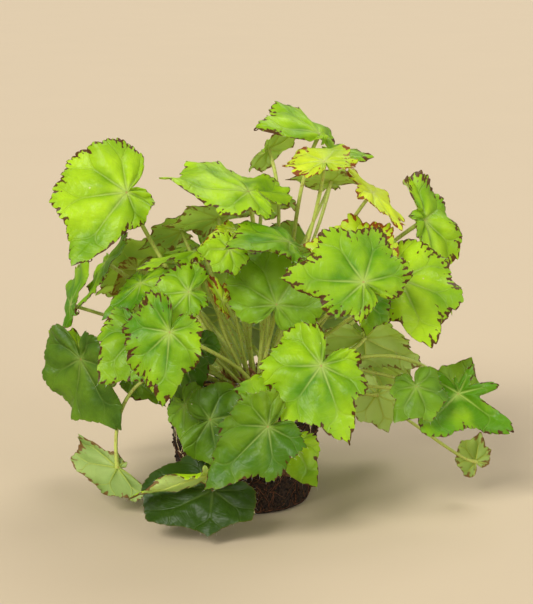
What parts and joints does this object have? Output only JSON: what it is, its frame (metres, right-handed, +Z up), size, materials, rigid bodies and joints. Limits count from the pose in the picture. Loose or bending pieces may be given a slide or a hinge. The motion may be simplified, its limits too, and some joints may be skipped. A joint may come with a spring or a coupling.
{
  "type": "rhizomatous begonia plant with root ball",
  "caption": "Bushy begonia lifted out of its pot: lobed, toothed leaves on bent stalks rise from a knobbly rhizome in a bare round root ball that stands on its flat base.",
  "frame": {"origin": "centre of the root ball's flat base", "axes": "+Z up the plant, -Y towards its front, where the large low leaves hang over the root ball"},
  "size_m": [0.3515, 0.2844, 0.2982],
  "materials": {
    "peat": "matte, fibrous",
    "rhizome": "dull, scaly",
    "leaf_bright": "satin",
    "leaf_young": "satin",
    "leaf_dark": "satin"
  },
  "bodies": {
    "root": {"root_ball": "peat", "rhizome": "rhizome", "leaf_01": "leaf_bright", "leaf_02": "leaf_bright", "leaf_03": "leaf_bright", "leaf_04": "leaf_bright", "leaf_05": "leaf_young", "leaf_06": "leaf_bright", "leaf_07": "leaf_young", "leaf_08": "leaf_bright", "leaf_09": "leaf_bright", "leaf_10": "leaf_bright", "leaf_11": "leaf_bright", "leaf_12": "leaf_young", "leaf_13": "leaf_dark", "leaf_14": "leaf_bright", "leaf_15": "leaf_bright", "leaf_16": "leaf_young", "leaf_17": "leaf_young", "leaf_18": "leaf_bright", "leaf_19": "leaf_dark", "leaf_20": "leaf_bright", "leaf_21": "leaf_bright", "leaf_22": "leaf_bright", "leaf_23": "leaf_bright", "leaf_24": "leaf_dark", "leaf_25": "leaf_bright", "leaf_26": "leaf_bright", "leaf_27": "leaf_bright", "leaf_28": "leaf_young", "leaf_29": "leaf_bright", "leaf_30": "leaf_bright", "leaf_31": "leaf_bright", "leaf_32": "leaf_dark", "leaf_33": "leaf_bright", "leaf_34": "leaf_bright", "leaf_35": "leaf_dark", "leaf_36": "leaf_bright", "leaf_37": "leaf_bright", "leaf_38": "leaf_bright", "leaf_39": "leaf_bright", "leaf_40": "leaf_bright", "leaf_41": "leaf_dark", "leaf_42": "leaf_bright", "leaf_43": "leaf_dark", "leaf_44": "leaf_bright", "leaf_45": "leaf_bright", "leaf_46": "leaf_dark", "leaf_47": "leaf_dark", "leaf_48": "leaf_dark", "leaf_49": "leaf_bright", "leaf_50": "leaf_bright", "leaf_51": "leaf_bright", "leaf_52": "leaf_bright", "leaf_53": "leaf_bright", "leaf_54": "leaf_dark", "leaf_55": "leaf_dark", "leaf_56": "leaf_bright", "leaf_57": "leaf_bright", "leaf_58": "leaf_dark"}
  },
  "joints": []
}
